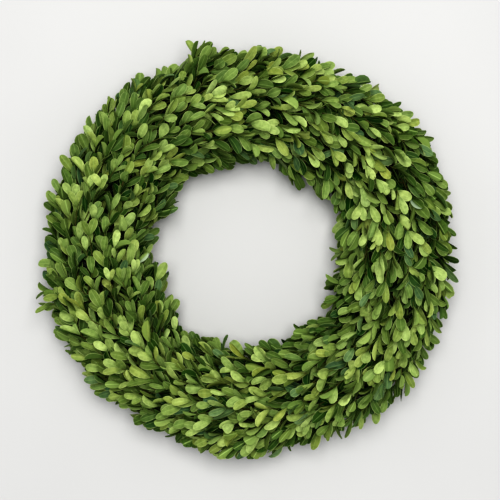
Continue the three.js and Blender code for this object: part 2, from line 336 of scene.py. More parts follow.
def length_along(points):
    """How far along a line each of its points is."""
    steps = np.linalg.norm(np.diff(points, axis=0), axis=1)
    return np.concatenate([[0.0], np.cumsum(steps)])


def tube(points, radii, sides, closed=False):
    """A round rod along points: its corners, its faces, and how far round and along it each corner is."""
    points = np.asarray(points, float)
    radii = np.broadcast_to(np.asarray(radii, float), len(points))
    if closed:
        run = unit(np.roll(points, -1, 0) - np.roll(points, 1, 0))
    else:
        run = unit(np.gradient(points, axis=0))
    side = np.empty_like(points)
    side[0] = unit(np.cross(run[0], UP if abs(run[0][2]) < STEEP else outward(0.0)))
    for place in range(1, len(points)):
        side[place] = unit(side[place - 1] - run[place] * (side[place - 1] @ run[place]))
    over = np.cross(run, side)
    turn = 2 * math.pi * np.arange(sides) / sides
    ring = side[:, None] * np.cos(turn)[:, None] + over[:, None] * np.sin(turn)[:, None]
    corners = points[:, None] + ring * radii[:, None, None]
    round_share = np.arange(sides) / sides
    places = np.stack(np.meshgrid(length_along(points), round_share, indexing="ij")[::-1], -1)
    faces = []
    for place in range(len(points) if closed else len(points) - 1):
        here = place * sides
        there = (place + 1) % len(points) * sides
        for step in range(sides):
            after = (step + 1) % sides
            faces.append([here + step, here + after, there + after, there + step])
    if not closed:
        last = (len(points) - 1) * sides
        faces.append(list(range(sides))[::-1])
        faces.append([last + step for step in range(sides)])
    return corners.reshape(-1, 3), faces, places.reshape(-1, 2)


def joined(parts):
    """Several sets of corners, faces and places as one."""
    corners, faces, places = [], [], []
    count = 0
    for part_corners, part_faces, part_places in parts:
        faces += [[corner + count for corner in face] for face in part_faces]
        count += len(part_corners)
        corners.append(part_corners)
        places.append(part_places)
    return np.concatenate(corners), faces, np.concatenate(places)


# Nodes of a material

# The sockets of a colour mix by number, as its other kinds have sockets of the same names
UNDER = 6
OVER = 7
MIXED = 2
# The sockets of a range: a pattern, the span of it that counts, and what it is brought to
RANGE = ("Value", "From Min", "From Max", "To Min", "To Max")


def add_node(tree, kind, sockets=None, **settings):
    """Adds a node. A socket takes a value, or the output that feeds it."""
    made = tree.nodes.new(kind)
    for name, value in settings.items():
        setattr(made, name, value)
    for name, value in (sockets or {}).items():
        if isinstance(value, bpy.types.NodeSocket):
            tree.links.new(value, made.inputs[name])
        else:
            made.inputs[name].default_value = value
    return made


def new_material(name):
    """An empty material and its node tree."""
    material = bpy.data.materials.new(name)
    material.use_nodes = True
    material.node_tree.nodes.clear()
    return material, material.node_tree


def coat(tree, under, over, pattern, span, shares):
    """A colour over another. Its share goes from the first to the last as the pattern crosses a span."""
    share = add_node(
        tree, "ShaderNodeMapRange", dict(zip(RANGE, (pattern, *span, *shares))),
        interpolation_type="SMOOTHSTEP",
    )
    mix = add_node(
        tree, "ShaderNodeMix", {"Factor": share.outputs["Result"], UNDER: under, OVER: over},
        data_type="RGBA",
    )
    return mix.outputs[MIXED]


def finish_surface(tree, sockets, wear, relief):
    """Adds the shader of a surface, worn after one pattern and in relief after another.

    Wear is a pattern, a span of it, and the roughness at both ends. Relief is a pattern, a strength and a
    depth.
    """
    pattern, span, roughness = wear
    height, strength, depth = relief
    rough = add_node(
        tree, "ShaderNodeMapRange", dict(zip(RANGE, (pattern, *span, *roughness))),
        interpolation_type="SMOOTHSTEP",
    )
    bump = add_node(tree, "ShaderNodeBump", {"Strength": strength, "Distance": depth, "Height": height})
    skin = {"Roughness": rough.outputs["Result"], "Normal": bump.outputs["Normal"]}
    shader = add_node(tree, "ShaderNodeBsdfPrincipled", {**sockets, **skin})
    add_node(tree, "ShaderNodeOutputMaterial", {"Surface": shader.outputs["BSDF"]})


# Materials

LEAF_IOR = 1.42
LACQUER_IOR = 1.5
# A leaf's roughness where it took the glycerine least and most, and how much smoother a waxy leaf is
LEAF_ROUGHNESS = (0.32, 0.46)
WAX_SMOOTHING = 0.16
# Side veins along a leaf, how far they slant, and how high they stand against the grain of the skin
SIDE_VEINS = 20
VEIN_SLANT = 0.35
VEIN_HEIGHT = 0.25
# How much of the back's own colour lies over the leaf's
BACK_PALENESS = 0.35
# Cracks in the bark round a stem, and how long they are
CRACKS_ROUND = 12.0
CRACK_LENGTH = 6 * MM
# How much rougher a scuff is than the lacquer round it
SCUFF_ROUGHENING = 0.3


def leaf_colour(tree, colours):
    """The colour of a leaf from its tint, and how waxy the leaf is."""
    tint = add_node(tree, "ShaderNodeAttribute", attribute_name="tint")
    parts = add_node(tree, "ShaderNodeSeparateColor", {"Color": tint.outputs["Color"]})
    ramp = add_node(tree, "ShaderNodeValToRGB", {"Fac": parts.outputs["Red"]})
    ramp.color_ramp.elements[0].color = colours.deep_leaf
    ramp.color_ramp.elements[1].color = colours.bright_leaf
    ramp.color_ramp.elements.new(0.5).color = colours.grown_leaf
    colour = ramp.outputs["Color"]
    for part, over in (("Green", colours.olive_leaf), ("Blue", colours.blue_leaf)):
        mix = add_node(
            tree, "ShaderNodeMix", {"Factor": parts.outputs[part], UNDER: colour, OVER: over},
            data_type="RGBA",
        )
        colour = mix.outputs[MIXED]
    return colour, tint.outputs["Alpha"]


def preserved_leaf_upper(colours):
    """Boxwood leaf kept soft with glycerine: a satin skin, a pale sunk midrib and blotchy greens."""
    material, tree = new_material("preserved_boxwood_leaf_upper")
    place = add_node(tree, "ShaderNodeUVMap", uv_map="pattern")
    across, along = add_node(tree, "ShaderNodeSeparateXYZ", {"Vector": place.outputs["UV"]}).outputs[0:2]
    side = add_node(tree, "ShaderNodeMath", {0: across}, operation="ABSOLUTE").outputs["Value"]
    ground = add_node(tree, "ShaderNodeTexCoord").outputs["Object"]
    colour, wax = leaf_colour(tree, colours)
    # Blotches of about 4 mm, where the glycerine took unevenly
    blotch = add_node(
        tree, "ShaderNodeTexNoise",
        {"Vector": ground, "Scale": 1 / (4 * MM), "Detail": 3.0, "Roughness": 0.6},
    ).outputs["Fac"]
    colour = coat(tree, colour, colours.deep_leaf, blotch, (0.35, 0.7), (0.0, 0.32))
    # Painted shade: the blade is painted darker towards its foot, where the leaves over it shade it
    colour = coat(tree, colour, colours.deep_leaf, along, (0.0, 0.45), (0.5, 0.0))
    # The midrib is palest at its middle and fades out half a millimetre to each side
    colour = coat(tree, colour, colours.midrib, side, (0.02, 0.12), (0.24, 0.0))
    # The blade is thin at its edge, which is painted pale as a highlight that the edge catches
    colour = coat(tree, colour, colours.margin, side, (0.82, 1.0), (0.0, 0.45))
    # One leaf in a thousand has a painted glint: a pale streak along one side that stands in for a
    # reflection
    glint_share = add_node(
        tree, "ShaderNodeMapRange", dict(zip(RANGE, (across, 0.1, 0.7, 0.0, 0.8))),
        interpolation_type="SMOOTHSTEP",
    ).outputs["Result"]
    colour = coat(tree, colour, linear("#B4C4AC"), wax, (0.9988, 0.999), (0.0, glint_share))
    # One leaf in eight kept its wax, and shines
    polished = [
        add_node(
            tree, "ShaderNodeMapRange", dict(zip(RANGE, (wax, 0.86, 0.9, dull, dull - WAX_SMOOTHING))),
            interpolation_type="SMOOTHSTEP",
        ).outputs["Result"]
        for dull in LEAF_ROUGHNESS
    ]
    # Side veins leave the midrib at a slant, about 1 mm apart: real ones are too fine to show
    slant = add_node(
        tree, "ShaderNodeMath", {0: side, 1: -VEIN_SLANT, 2: along}, operation="MULTIPLY_ADD"
    ).outputs["Value"]
    vein = add_node(
        tree, "ShaderNodeMath", {0: slant, 1: 2 * math.pi * SIDE_VEINS}, operation="MULTIPLY"
    ).outputs["Value"]
    wave = add_node(tree, "ShaderNodeMath", {0: vein}, operation="SINE").outputs["Value"]
    # The grain of the skin is drawn 0.8 mm coarse, as the real one is too fine to show
    grain = add_node(
        tree, "ShaderNodeTexNoise", {"Vector": ground, "Scale": 1 / (0.8 * MM), "Detail": 2.0}
    ).outputs["Fac"]
    relief = add_node(
        tree, "ShaderNodeMath", {0: wave, 1: VEIN_HEIGHT, 2: grain}, operation="MULTIPLY_ADD"
    ).outputs["Value"]
    # The glycerine leaves hardly a highlight on a leaf
    sockets = {"Base Color": colour, "IOR": LEAF_IOR, "Specular IOR Level": 0.07}
    finish_surface(tree, sockets, (blotch, (0.3, 0.7), polished), (relief, 0.35, 0.12 * MM))
    return material


def preserved_leaf_back(colours):
    """The back of the same leaf: paler, without wax, and with a raised midrib."""
    material, tree = new_material("preserved_boxwood_leaf_back")
    place = add_node(tree, "ShaderNodeUVMap", uv_map="pattern")
    across = add_node(tree, "ShaderNodeSeparateXYZ", {"Vector": place.outputs["UV"]}).outputs["X"]
    side = add_node(tree, "ShaderNodeMath", {0: across}, operation="ABSOLUTE").outputs["Value"]
    ground = add_node(tree, "ShaderNodeTexCoord").outputs["Object"]
    colour, _ = leaf_colour(tree, colours)
    colour = add_node(
        tree, "ShaderNodeMix", {"Factor": BACK_PALENESS, UNDER: colour, OVER: colours.leaf_back},
        data_type="RGBA",
    ).outputs[MIXED]
    # Mealy bloom in specks of 2 mm
    bloom = add_node(
        tree, "ShaderNodeTexNoise", {"Vector": ground, "Scale": 1 / (2 * MM), "Detail": 4.0}
    ).outputs["Fac"]
    colour = coat(tree, colour, colours.grown_leaf, bloom, (0.35, 0.7), (0.0, 0.3))
    colour = coat(tree, colour, colours.midrib, side, (0.05, 0.18), (0.6, 0.0))
    sockets = {"Base Color": colour, "IOR": LEAF_IOR, "Specular IOR Level": 0.04}
    finish_surface(tree, sockets, (bloom, (0.3, 0.7), (0.55, 0.7)), (bloom, 0.3, 0.15 * MM))
    return material


def boxwood_bark(colours):
    """Boxwood stem as cut: thin brown bark with fine cracks along it, greener on young twigs."""
    material, tree = new_material("cut_boxwood_bark")
    ground = add_node(tree, "ShaderNodeTexCoord").outputs["Object"]
    place = add_node(tree, "ShaderNodeUVMap", uv_map="pattern")
    age = add_node(tree, "ShaderNodeAttribute", attribute_name="age").outputs["Fac"]
    colour = add_node(
        tree, "ShaderNodeMix", {"Factor": age, UNDER: colours.young_twig, OVER: colours.bark},
        data_type="RGBA",
    ).outputs[MIXED]
    # Cracks 6 mm long, and 0.8 mm apart round the thick end of a stem
    stretch = add_node(
        tree, "ShaderNodeMapping",
        {"Vector": place.outputs["UV"], "Scale": (CRACKS_ROUND, 1 / CRACK_LENGTH, 1.0)},
    )
    crack = add_node(
        tree, "ShaderNodeTexNoise", {"Vector": stretch.outputs["Vector"], "Scale": 1.0, "Detail": 4.0}
    ).outputs["Fac"]
    colour = coat(tree, colour, linear("#1C150D"), crack, (0.45, 0.7), (0.0, 0.55))
    # Weathered patches of about 9 mm
    patch = add_node(
        tree, "ShaderNodeTexNoise", {"Vector": ground, "Scale": 1 / (9 * MM), "Detail": 2.0}
    ).outputs["Fac"]
    colour = coat(tree, colour, linear("#3C3120"), patch, (0.5, 0.75), (0.0, 0.3))
    sockets = {"Base Color": colour, "Specular IOR Level": 0.08}
    finish_surface(tree, sockets, (crack, (0.3, 0.7), (0.6, 0.85)), (crack, 0.6, 0.2 * MM))
    return material


def lacquered_wire(name, colour, worn_colour, roughness):
    """Drawn steel wire under a coat of colour, glossy, with dull scuffs where it was handled."""
    material, tree = new_material(name)
    ground = add_node(tree, "ShaderNodeTexCoord").outputs["Object"]
    # Scuffs of about 5 mm, and an uneven coat of about 1 mm
    scuff, ripple = [
        add_node(tree, "ShaderNodeTexNoise", {"Vector": ground, "Scale": 1 / size, "Detail": detail})
        .outputs["Fac"]
        for size, detail in ((5 * MM, 5.0), (1 * MM, 2.0))
    ]
    worn = coat(tree, colour, linear(worn_colour), scuff, (0.58, 0.7), (0.0, 0.6))
    wear = (scuff, (0.4, 0.7), (roughness, roughness + SCUFF_ROUGHENING))
    finish_surface(tree, {"Base Color": worn, "IOR": LACQUER_IOR}, wear, (ripple, 0.4, 0.1 * MM))
    return material


def painted_board(colours):
    """Board rolled with matt white paint: a pale ground with the faint stipple of the roller."""
    material, tree = new_material("roller_painted_board")
    ground = add_node(tree, "ShaderNodeTexCoord").outputs["Object"]
    # Stipple of about 1.5 mm, and clouds of about 150 mm in the paint
    stipple, cloud = [
        add_node(tree, "ShaderNodeTexNoise", {"Vector": ground, "Scale": 1 / size, "Detail": detail})
        .outputs["Fac"]
        for size, detail in ((1.5 * MM, 2.0), (150 * MM, 1.0))
    ]
    colour = coat(tree, colours.board, linear("#C6C6C5"), cloud, (0.3, 0.7), (0.0, 0.25))
    wear = (stipple, (0.3, 0.7), (0.75, 0.9))
    finish_surface(tree, {"Base Color": colour}, wear, (stipple, 0.12, 0.1 * MM))
    return material


# Sprigs

# Where the rows start at the outer foot, and how far sprigs stray, in shares of the step between two
FOOT_TURN = math.radians(-34)
SPRIG_SCATTER = 0.3
# How deep the tips lie under the foliage's face, in the outer layer and in the heart under it
TIP_SINK = 8 * MM
HEART_SINK = 26 * MM
# The tone of both layers, from 0 for deep green to 1 for bright green. The heart is at the darkest tone:
# partly old leaves, partly painted shade deep inside the foliage
OUTER_TONE = 0.39
HEART_TONE = 0.0
# Painted light and shade in the sprigs' tone: they gain tone at the crown, where the light falls, and
# lose it on the inner side and below the section's middle, where shade falls
CROWN_GLOW = 0.25
INNER_SHADE = 0.03
FOOT_SHADE = 0.16
# How much patches of sprigs, and single sprigs in them, vary
PATCH_SPREAD = 0.12
SPRIG_TONE_SPREAD = 0.14
SINK_SPREAD = 3 * MM
LIFT_SPREAD = math.radians(10)
SPLAY_SPREAD = math.radians(13)
SIZE_SPREAD = 0.09
OLIVE_MOST = 0.7
# The share of sprigs that are bluish, and the share of bluish leaves on them and on the others
BLUE_SPRIGS = 0.07
BLUE_LEAVES = 0.5
FEW_BLUE_LEAVES = 0.03
# Sprigs that stick out of the rim or into the hole: the angle from the top and the turn round the
# section in degrees, how deep the tip lies in mm, the lift in degrees, and the tone
STRAY_SPRIGS = (
    (255, 14, 2, 86, 0.45),
    (259, 4, 3, 86, 0.2),
    (257, 34, 6, 84, 0.3),
    (90, 172, 5, 88, 0.6),
    (109, 172, 5, 88, 0.5),
    (14, 170, 13, 80, 0.5),
    (236, 170, 13, 82, 0.5),
    (345, 14, 9, 80, 0.4),
)
STRAY_SIZE = 0.9
STRAY_OLIVE = 0.15

# How steeply a sprig's root leaves the ring, and the mean radius of the section that it leans round.
# Its line is followed in so many steps
ROOT_LIFT = math.radians(8)
SECTION_RADIUS = 50 * MM
PATH_STEPS = 9
# How far leaves are combed along the ring, and how steeply combed leaves stand at the edges and the crown
COMBING = 0.4
EDGE_LIFT = math.radians(42)
CROWN_LIFT = math.radians(14)

# A leaf opens from its twig by so many degrees at the tip, and by more from the third pair on. Leaves on
# the outer side of the twig open less
TIP_OPENING = 26
GROWN_OPENING = 52
GROWN_PAIR = 2
OUTER_CLOSING = 0.3
# How far the light draws a leaf's face, and how strongly it comes from above besides from outside
LIGHT_SHARE = 0.52
LIGHT_FROM_ABOVE = 0.55
# Leaves at the tip are smaller, and grow to their full size by the third pair
TIP_LENGTH = 0.9
LENGTH_GAIN = 0.1
TIP_WIDTH = 0.92
WIDTH_GAIN = 0.08
# The first pair is lighter, and the others darken towards the root: partly as older leaves, partly as
# painted shade where they lie under the pairs before them. The least tone is that of the tip,
# and falls to nothing at the root
TIP_GLOW = 0.06
ROOT_SHADE = 0.85
SHADE_CURVE = 1.4
LEAST_TONE = 0.18
# How much of its olive a leaf shows for its tone, up to the whole of it
OLIVE_IN_LIGHT = 1.6
# How strong the bloom is on bluish leaves, and the mean, the spread and the most of it on the others
BLOOM = 0.78
FAINT_BLOOM = (-0.02, 0.13)
FAINT_BLOOM_MOST = 0.5
# How much single leaves vary, with angles in radians
SPOKE_SPREAD = 0.2
OPENING_SPREAD = 0.17
ROLL_SPREAD = math.radians(33)
LENGTH_SPREAD = 0.12
WIDTH_SPREAD = 0.13
LEAF_TONE_SPREAD = 0.15
OLIVE_SPREAD = 0.24
# The least and the most of a leaf's taper, and the mean and the spread of its bends
LEAF_TAPER = (0.6, 0.95)
LEAF_ARCH = (0.35, 0.32)
LEAF_FOLD = (0.44, 0.2)
LEAF_CURL = (0.14, 0.28)
LEAF_TWIST = (0.0, 0.25)
# How far to each side of a pair its twig's run is measured, and how far from the twig's middle a leaf
# starts, as a share of its radius
RUN_PROBE = 2 * MM
FOOT_PLACE = 0.4


def layer_of_sprigs(sizes, draw, rows, spacing, sink, tone):
    """Sprigs in rows round the section, each row half a step on from the last."""
    sprigs = []
    # Each two rows share their lighter and darker patches
    patches = draw.normal(0, PATCH_SPREAD, (rows, BUNCH_COUNT))
    patches[1::2] = patches[:-1:2]
    for row in range(rows):
        share = (row + 0.5) / rows
        row_turn = FOOT_TURN + share * (math.pi - 2 * FOOT_TURN)
        wide, _ = section_reach(sizes, 0.0, row_turn)
        girth = 2 * math.pi * (RING_RADIUS + (float(wide) - sink) * math.cos(row_turn))
        count = round(girth / spacing)
        # Painted light at the crown, and painted shade on the inner side and at the foot
        painted_light = CROWN_GLOW * math.sin(row_turn) - INNER_SHADE * max(0.0, -math.cos(row_turn))
        painted_light -= FOOT_SHADE * (math.sin(row_turn) < 0)
        for place in range(count):
            step = place + 0.5 * (row % 2) + SPRIG_SCATTER * draw.uniform(-1, 1)
            kind = draw.uniform()
            patch = patches[row, int(step / count * BUNCH_COUNT) % BUNCH_COUNT]
            sprigs.append(Sprig(
                angle=2 * math.pi * step / count % (2 * math.pi),
                turn=row_turn + SPRIG_SCATTER * draw.uniform(-1, 1) * math.pi / rows,
                sink=sink + abs(draw.normal(0, SINK_SPREAD)),
                lift=sizes.tip_lift + draw.normal(0, LIFT_SPREAD),
                splay=draw.normal(0, SPLAY_SPREAD),
                roll=draw.uniform(0, math.pi),
                size=1 + draw.normal(0, SIZE_SPREAD),
                tone=tone + painted_light + patch + draw.normal(0, SPRIG_TONE_SPREAD),
                olive=draw.uniform(0, OLIVE_MOST) ** 2,
                blue=BLUE_LEAVES if kind < BLUE_SPRIGS else FEW_BLUE_LEAVES,
                combing=COMBING,
            ))
    return sprigs


def plan_sprigs(sizes):
    """Every sprig of the wreath, in an outer layer and one in its heart, and the few that stick out."""
    draw = np.random.default_rng(SPRIG_SEED)
    sprigs = layer_of_sprigs(sizes, draw, sizes.sprig_rows, sizes.sprig_spacing, TIP_SINK, OUTER_TONE)
    sprigs += layer_of_sprigs(sizes, draw, sizes.heart_rows, sizes.heart_spacing, HEART_SINK, HEART_TONE)
    for angle, turn, sink, lift, tone in STRAY_SPRIGS:
        sprigs.append(Sprig(
            angle=math.radians(angle), turn=math.radians(turn), sink=sink * MM, lift=math.radians(lift),
            splay=0.0, roll=draw.uniform(0, math.pi), size=STRAY_SIZE, tone=tone, olive=STRAY_OLIVE,
            blue=0.0, combing=0.0,
        ))
    return sprigs


def sprig_path(sizes, sprig):
    """The line of a sprig's leafy twig, from its tip back to its root, and the angle at each point."""
    span = sizes.pair_gap * (sizes.leaf_pairs - 1) / PATH_STEPS
    lift = np.linspace(sprig.lift, ROOT_LIFT, PATH_STEPS)
    back = np.concatenate([[0.0], np.cumsum(span * np.cos(lift))])
    sink = sprig.sink + np.concatenate([[0.0], np.cumsum(span * np.sin(lift))])
    wide, _ = section_reach(sizes, sprig.angle, sprig.turn)
    radius = RING_RADIUS + (float(wide) - sink) * math.cos(sprig.turn)
    angle = sprig.angle - back * math.cos(sprig.splay) / radius
    turn = sprig.turn - back * math.sin(sprig.splay) / SECTION_RADIUS
    return foliage_point(sizes, angle, turn, sink), angle


def point_along(path, distance):
    """The points at distances from the start of a path."""
    length = length_along(path)
    return np.stack([np.interp(distance, length, path[:, axis]) for axis in range(3)], -1)


def combed_way(sprig, normal):
    """The way that a sprig's leaves are combed: along the ring, and up from the foliage's face."""
    along = clockwise(sprig.angle)
    swept = unit(along * math.cos(sprig.splay) + np.cross(normal, along) * math.sin(sprig.splay))
    lift = EDGE_LIFT + (CROWN_LIFT - EDGE_LIFT) * max(0.0, math.sin(sprig.turn))
    return swept * math.cos(lift) + normal * math.sin(lift)


def leaf_pose(run, reach, opening, combing, combed, light, draw):
    """The way that a leaf points and the way that it faces."""
    opening += draw.normal(0, OPENING_SPREAD)
    axis = unit(run * math.cos(opening) + reach * math.sin(opening))
    axis = unit((1 - combing) * axis + combing * combed)
    grown = run * math.sin(opening) - reach * math.cos(opening)
    lit = unit(light - axis * (light @ axis))
    face = unit((1 - LIGHT_SHARE) * grown + LIGHT_SHARE * lit)
    face = unit(face - axis * (face @ axis))
    roll = draw.normal(0, ROLL_SPREAD)
    return axis, face * math.cos(roll) + np.cross(axis, face) * math.sin(roll)


def leaf_tint(sprig, age, draw):
    """How bright, olive and bluish a leaf is. Its age is 0 at the sprig's tip and 1 at its root."""
    tone = sprig.tone + TIP_GLOW * (age == 0) - ROOT_SHADE * age ** SHADE_CURVE
    tone = np.clip(tone + draw.normal(0, LEAF_TONE_SPREAD), LEAST_TONE * (1 - age), 1)
    olive = np.clip(sprig.olive + draw.normal(0, OLIVE_SPREAD), 0, 1) * min(1.0, OLIVE_IN_LIGHT * tone)
    if draw.uniform() < sprig.blue:
        return tone, olive, BLOOM
    return tone, olive, np.clip(draw.normal(*FAINT_BLOOM), 0, FAINT_BLOOM_MOST)


def sprig_leaves(sizes, sprig, draw):
    """The leaves of a sprig, in pairs that stand across each other, a little smaller at its tip."""
    path, _ = sprig_path(sizes, sprig)
    pairs = np.arange(sizes.leaf_pairs)
    distance = sizes.pair_gap * pairs
    base = point_along(path, distance)
    before = point_along(path, np.maximum(distance - RUN_PROBE, 0))
    run = unit(before - point_along(path, distance + RUN_PROBE))
    normal = foliage_normal(sizes, np.float64(sprig.angle), np.float64(sprig.turn))
    side = unit(np.cross(run, normal))
    over = np.cross(side, run)
    combed = combed_way(sprig, normal)
    light = unit(normal + LIGHT_FROM_ABOVE * UP)
    rows = []
    for pair in pairs:
        age = pair / (sizes.leaf_pairs - 1)
        grown = min(1.0, pair / GROWN_PAIR)
        long = sizes.leaf_length * sprig.size * (TIP_LENGTH + LENGTH_GAIN * grown)
        wide = sizes.leaf_width * sprig.size * (TIP_WIDTH + WIDTH_GAIN * grown)
        open_most = math.radians(TIP_OPENING + (GROWN_OPENING - TIP_OPENING) * grown)
        spoke = sprig.roll + pair * math.pi / 2 + draw.normal(0, SPOKE_SPREAD)
        for way in (0, math.pi):
            reach = math.cos(spoke + way) * side[pair] + math.sin(spoke + way) * over[pair]
            opening = open_most * (1 - OUTER_CLOSING * max(0.0, math.sin(spoke + way)))
            axis, face = leaf_pose(run[pair], reach, opening, sprig.combing, combed, light, draw)
            length = long * (1 + draw.normal(0, LENGTH_SPREAD))
            width = wide * (1 + draw.normal(0, WIDTH_SPREAD))
            tint = leaf_tint(sprig, age, draw)
            rows.append((
                base[pair] + reach * sizes.twig_radius * FOOT_PLACE, axis, face, length, width,
                draw.uniform(*LEAF_TAPER), draw.normal(*LEAF_ARCH), draw.normal(*LEAF_FOLD),
                draw.normal(*LEAF_CURL), draw.normal(*LEAF_TWIST), (*tint, draw.uniform()),
            ))
    return rows


def gathered(rows):
    """Rows of leaf values as Leaves."""
    return Leaves(*(np.array(column, float) for column in zip(*rows)))


# Leaves

LEAF_ROWS = 8
LEAF_COLUMNS = 5
# The last row stands a little short of the tip, which is rounded
LEAF_TIP_ROW = 0.985
TIP_ROUNDING = 1.35
PETIOLE = 0.5 * MM
# The places between foot and tip where an outline's widest one is looked for
OUTLINE_PLACES = np.linspace(0.01, 0.99, 99)
# A leaf's thickness at its foot, in shares of the setting: it falls by one share towards the tip
FOOT_THICKNESS = 1.6


def leaf_rows():
    """Where a leaf's rows of corners cross it, closer together near its foot and its tip."""
    return (1 - np.cos(np.pi * np.arange(LEAF_ROWS) / (LEAF_ROWS - 1))) / 2 * LEAF_TIP_ROW


def leaf_corners(sizes, leaves):
    """The corners of each leaf: a grid over its upper side, and a row under its midrib."""
    rows = leaf_rows()
    across = np.linspace(-1, 1, LEAF_COLUMNS)
    along = np.repeat(rows[:, None], LEAF_COLUMNS, 1)
    along[-1] += (1 - LEAF_TIP_ROW) * (1 - across ** 2)
    taper = leaves.taper[:, None]
    peak = (OUTLINE_PLACES ** taper * np.sqrt(1 - OUTLINE_PLACES ** TIP_ROUNDING)).max(1)[:, None]
    outline = rows ** taper * np.sqrt(1 - rows ** TIP_ROUNDING) / peak
    half = np.maximum(outline * leaves.width[:, None] / 2, PETIOLE)
    bend = leaves.arch[:, None, None] * along
    length = leaves.length[:, None, None] * along
    forward = length * np.sinc(bend / np.pi)
    down = length * np.sin(bend / 2) * np.sinc(bend / 2 / np.pi)
    spread = half[:, :, None] * across
    fold = leaves.fold[:, None, None]
    curl = leaves.curl[:, None, None]
    rise = half[:, :, None] * (fold * np.abs(across) - curl * across ** 2)
    twist = leaves.twist[:, None, None] * along
    aside = spread * np.cos(twist) - rise * np.sin(twist)
    proud = spread * np.sin(twist) + rise * np.cos(twist)
    upper = np.stack([aside, forward + proud * np.sin(bend), proud * np.cos(bend) - down], -1)
    middle = upper[:, :, LEAF_COLUMNS // 2]
    depth = sizes.leaf_thickness * (FOOT_THICKNESS - rows)
    lean = bend[:, :, LEAF_COLUMNS // 2]
    below = np.stack([0 * lean, np.sin(lean), np.cos(lean)], -1) * depth[None, :, None]
    under = middle - below
    count = len(leaves.base)
    local = np.concatenate([upper.reshape(count, -1, 3), under], 1)
    side = np.cross(leaves.axis, leaves.face)
    frames = np.stack([side, leaves.axis, leaves.face], 1)
    return leaves.base[:, None] + local @ frames


def leaf_faces():
    """The faces of one leaf, the skin that each belongs to, and the place of each corner on the leaf."""
    def at(row, column):
        return row * LEAF_COLUMNS + column

    def below(row):
        return LEAF_ROWS * LEAF_COLUMNS + row

    last = LEAF_COLUMNS - 1
    middle = LEAF_COLUMNS // 2
    tip = LEAF_ROWS - 1
    upper = [
        [at(row, column), at(row, column + 1), at(row + 1, column + 1), at(row + 1, column)]
        for row in range(tip) for column in range(last)
    ]
    back = []
    for row in range(tip):
        back.append([at(row, 0), at(row + 1, 0), below(row + 1), below(row)])
        back.append([below(row), below(row + 1), at(row + 1, last), at(row, last)])
    back.append([at(0, 0), below(0), at(0, middle), at(0, 1)])
    back.append([below(0), at(0, last), at(0, last - 1), at(0, middle)])
    back.append([at(tip, 0), at(tip, 1), at(tip, middle), below(tip)])
    back.append([at(tip, middle), at(tip, last - 1), at(tip, last), below(tip)])
    rows = leaf_rows()
    places = [(across, row) for row in rows for across in np.linspace(-1, 1, LEAF_COLUMNS)]
    places += [(0.0, row) for row in rows]
    return np.array(upper + back), np.array([0] * len(upper) + [1] * len(back)), np.array(places)


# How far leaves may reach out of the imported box, as a share of its sides, and where they must stop
BOX_ROOM = 0.025
FLOOR_ROOM = 0.3 * MM
HOLE_RADIUS = 76 * MM
# Leaves may cross in the first rows of their faces, and past them where only one face of each does
FOOT_ROWS = 3
LEAST_TOUCHES = 2


def leaves_that_fit(corners):
    """Which leaves stay off the ground, inside the wreath's box and out of its hole."""
    low, high = (np.array(corner) for corner in CAD_BOUNDS)
    room = (high - low) * BOX_ROOM
    inside = ((corners > low - room) & (corners < high + room)).all((1, 2))
    above = corners[:, :, 2].min(1) > FLOOR_ROOM
    radius = np.linalg.norm(corners[:, :, :2], axis=2).min(1)
    return inside & above & (radius > HOLE_RADIUS)


def copied(template, count, size):
    """The faces of a template again for each copy, where a copy has so many corners."""
    return (template[None] + size * np.arange(count)[:, None, None]).reshape(-1, template.shape[1])


def leaves_apart(sizes, corners):
    """Which leaves stay free of each other past their feet, where the outermost are laid first."""
    template, skins, _ = leaf_faces()
    blade = template[skins == 0]
    count, size = corners.shape[:2]
    tree = BVHTree.FromPolygons(corners.reshape(-1, 3).tolist(), copied(blade, count, size).tolist())
    meeting = np.array(tree.overlap(tree))
    leaf = meeting // len(blade)
    past_foot = (meeting % len(blade) // (LEAF_COLUMNS - 1) >= FOOT_ROWS).all(1)
    pairs, touches = np.unique(leaf[past_foot & (leaf[:, 0] < leaf[:, 1])], axis=0, return_counts=True)
    near = [[] for _ in range(count)]
    for first, second in pairs[touches >= LEAST_TOUCHES]:
        near[first].append(second)
        near[second].append(first)
    middle = corners.mean(1)
    angle = np.arctan2(middle[:, 0], middle[:, 1])
    offset = np.linalg.norm(middle[:, :2], axis=1) - RING_RADIUS
    wide, high = section_reach(sizes, angle, np.where(offset > 0, 0, math.pi))
    depth = -np.hypot(offset / wide, (middle[:, 2] - sizes.middle_height) / high)
    laid = np.zeros(count, bool)
    for place in np.argsort(depth, kind="stable"):
        laid[place] = not laid[near[place]].any()
    return laid


def lay_foliage(context):
    """One piece of foliage for each bunch, from the sprigs with their tips in its share of the ring."""
    sizes = context.scene.wreath_sizes
    colours = context.scene.wreath_colours
    materials = [preserved_leaf_upper(colours), preserved_leaf_back(colours)]
    template, skins, places = leaf_faces()
    draw = np.random.default_rng(LEAF_SEED)
    rows, owners = [], []
    for sprig in plan_sprigs(sizes):
        grown = sprig_leaves(sizes, sprig, draw)
        rows += grown
        owners += [int(sprig.angle / BUNCH_ANGLE)] * len(grown)
    leaves = gathered(rows)
    every = leaf_corners(sizes, leaves)
    laid = leaves_that_fit(every)
    laid[laid] = leaves_apart(sizes, every[laid])
    for bunch, node in enumerate(FOLIAGE_NODES):
        own = laid & (np.array(owners) == bunch)
        corners = every[own]
        count, size = corners.shape[:2]
        faces = copied(template, count, size).tolist()
        piece = new_piece(
            node.replace("leaves", "foliage"), corners.reshape(-1, 3), faces, materials,
            np.tile(places, (count, 1)), np.tile(skins, count),
        )
        tint = piece.data.attributes.new("tint", "FLOAT_COLOR", "POINT")
        tint.data.foreach_set("color", np.repeat(leaves.tint[own], size, 0).astype(np.float32).ravel())
        sharpen_between_skins(piece.data)
        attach(piece, "root")
        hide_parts(node)


